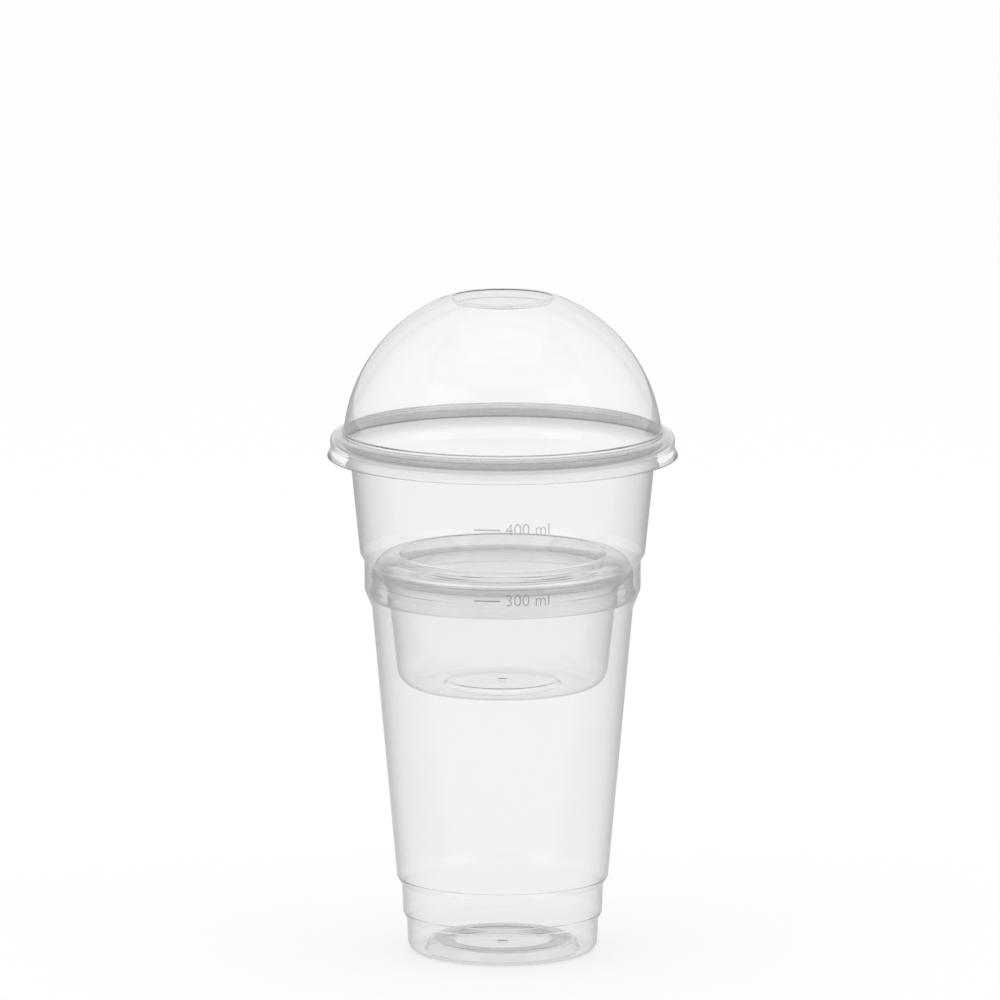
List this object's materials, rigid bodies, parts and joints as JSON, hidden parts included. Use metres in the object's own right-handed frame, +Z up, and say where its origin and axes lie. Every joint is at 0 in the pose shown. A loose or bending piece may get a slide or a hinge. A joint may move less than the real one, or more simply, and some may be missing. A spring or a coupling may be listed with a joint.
{
  "type": "plastic cup with lid",
  "caption": "Clear tapered drinking cup with a domed snap lid; a small insert cup with its own snap lid hangs inside the mouth on a shoulder.",
  "frame": {"origin": "centre of the cup's foot, on the table", "axes": "+Z up along the axis of the cup and its lids; -Y towards the fill marks"},
  "size_m": [0.0984, 0.0984, 0.1864],
  "materials": {
    "cup_sheet": "clear thermoformed sheet, high gloss",
    "insert_sheet": "clear thermoformed sheet, high gloss",
    "insert_lid_sheet": "clear thermoformed sheet, high gloss",
    "dome_sheet": "clear thermoformed sheet, high gloss",
    "fill_marks": "low raised figures moulded in the sheet"
  },
  "bodies": {
    "cup": {"cup": "cup_sheet"},
    "dome_lid": {"dome_lid": "dome_sheet"},
    "insert": {"insert_cup": "insert_sheet"},
    "insert_lid": {"insert_lid": "insert_lid_sheet"}
  },
  "joints": [
    {"name": "dome_lift", "type": "slide", "parent": "cup", "child": "dome_lid", "axis": [0, 0, 1], "range_m": [0, 0.073]},
    {"name": "insert_lift", "type": "slide", "parent": "cup", "child": "insert", "axis": [0, 0, 1], "range_m": [0, 0.0697]},
    {"name": "lid_lift", "type": "slide", "parent": "insert", "child": "insert_lid", "axis": [0, 0, 1], "range_m": [0, 0.0188]}
  ],
  "couplings": [
    {"joint": "insert_lift", "follows": "dome_lift", "ratio": 0.954}
  ]
}
